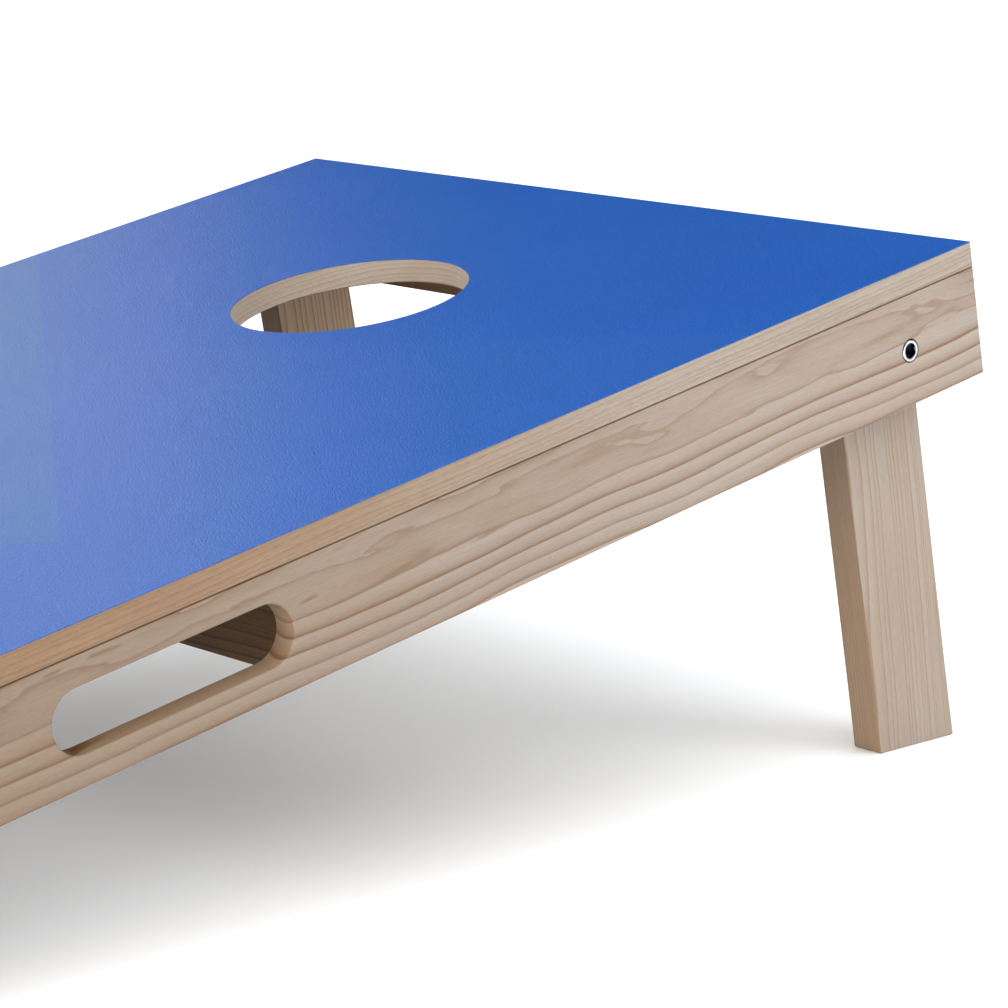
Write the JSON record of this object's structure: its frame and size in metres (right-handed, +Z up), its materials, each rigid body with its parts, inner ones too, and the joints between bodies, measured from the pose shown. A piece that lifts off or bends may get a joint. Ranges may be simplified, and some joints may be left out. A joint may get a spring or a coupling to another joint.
{
  "type": "cornhole board",
  "caption": "Sloping bean-bag toss board: film-faced deck with a round bag hole, pine frame with hand slots, and folding rear legs clamped by knobs.",
  "frame": {"origin": "on the ground, below the middle of the standing board's box", "axes": "+Z up; +Y towards the high rear end with the bag hole and the legs; +X to the right as seen from the low front end"},
  "size_m": [0.6096, 1.2284, 0.3125],
  "materials": {
    "blue_film": "saturated blue printed film with a fine pebbled texture and a satin sheen",
    "deck_board": "pale close-grained panel edge, clear satin lacquer",
    "pine": "pine with long wavy growth bands, clear satin lacquer",
    "leg_pine": "pine with straight grain along the leg, clear satin lacquer",
    "block_wood": "planed softwood, unlacquered",
    "beech": "fluted beech dowel",
    "nylon": "natural nylon",
    "bright_steel": "bright zinc plate, turned face",
    "steel": "zinc plated",
    "screw_steel": "yellow zinc plated",
    "black_plastic": "moulded black plastic with a fine spark texture"
  },
  "bodies": {
    "frame": {"playing_surface": "blue_film", "deck_panel": "deck_board", "right_side_rail": "pine", "left_side_rail": "pine", "rear_end_rail": "pine", "front_end_rail": "pine", "rear_cross_brace": "pine", "front_cross_brace": "pine", "right_pivot_block": "block_wood", "left_pivot_block": "block_wood", "right_leg_stop": "block_wood", "left_leg_stop": "block_wood", "right_corner_block": "block_wood", "left_corner_block": "block_wood", "rail_dowels": "beech", "right_friction_washer": "nylon", "left_friction_washer": "nylon", "right_insert_nut": "bright_steel", "left_insert_nut": "bright_steel", "deck_screws": "screw_steel", "block_screws": "screw_steel"},
    "right_leg": {"right_leg": "leg_pine", "right_leg_bush": "nylon"},
    "right_clamp_washer": {"right_knob_washer": "steel"},
    "right_clamp": {"right_clamp_knob": "black_plastic", "right_pivot_stud": "steel"},
    "left_leg": {"left_leg": "leg_pine", "left_leg_bush": "nylon"},
    "left_clamp_washer": {"left_knob_washer": "steel"},
    "left_clamp": {"left_clamp_knob": "black_plastic", "left_pivot_stud": "steel"}
  },
  "joints": [
    {"name": "right_leg_fold", "type": "hinge", "parent": "frame", "child": "right_leg", "pos_m": [0.2652, 0.53195, 0.25288], "axis": [-1, 0, 0], "range_deg": [0, 90]},
    {"name": "right_knob_travel", "type": "slide", "parent": "frame", "child": "right_clamp_washer", "axis": [-1, 0, 0], "range_m": [0, 0.0075]},
    {"name": "right_knob_turn", "type": "hinge", "parent": "right_clamp_washer", "child": "right_clamp", "pos_m": [0.2652, 0.53195, 0.25288], "axis": [-1, 0, 0], "range_deg": [0, 2170]},
    {"name": "left_leg_fold", "type": "hinge", "parent": "frame", "child": "left_leg", "pos_m": [-0.2652, 0.53195, 0.25288], "axis": [-1, 0, 0], "range_deg": [0, 90]},
    {"name": "left_knob_travel", "type": "slide", "parent": "frame", "child": "left_clamp_washer", "axis": [1, 0, 0], "range_m": [0, 0.0075]},
    {"name": "left_knob_turn", "type": "hinge", "parent": "left_clamp_washer", "child": "left_clamp", "pos_m": [-0.2652, 0.53195, 0.25288], "axis": [1, 0, 0], "range_deg": [0, 2170]}
  ],
  "couplings": [
    {"joint": "right_knob_turn", "follows": "right_knob_travel", "rad_per_m": 5026.5},
    {"joint": "left_knob_turn", "follows": "left_knob_travel", "rad_per_m": 5026.5}
  ]
}
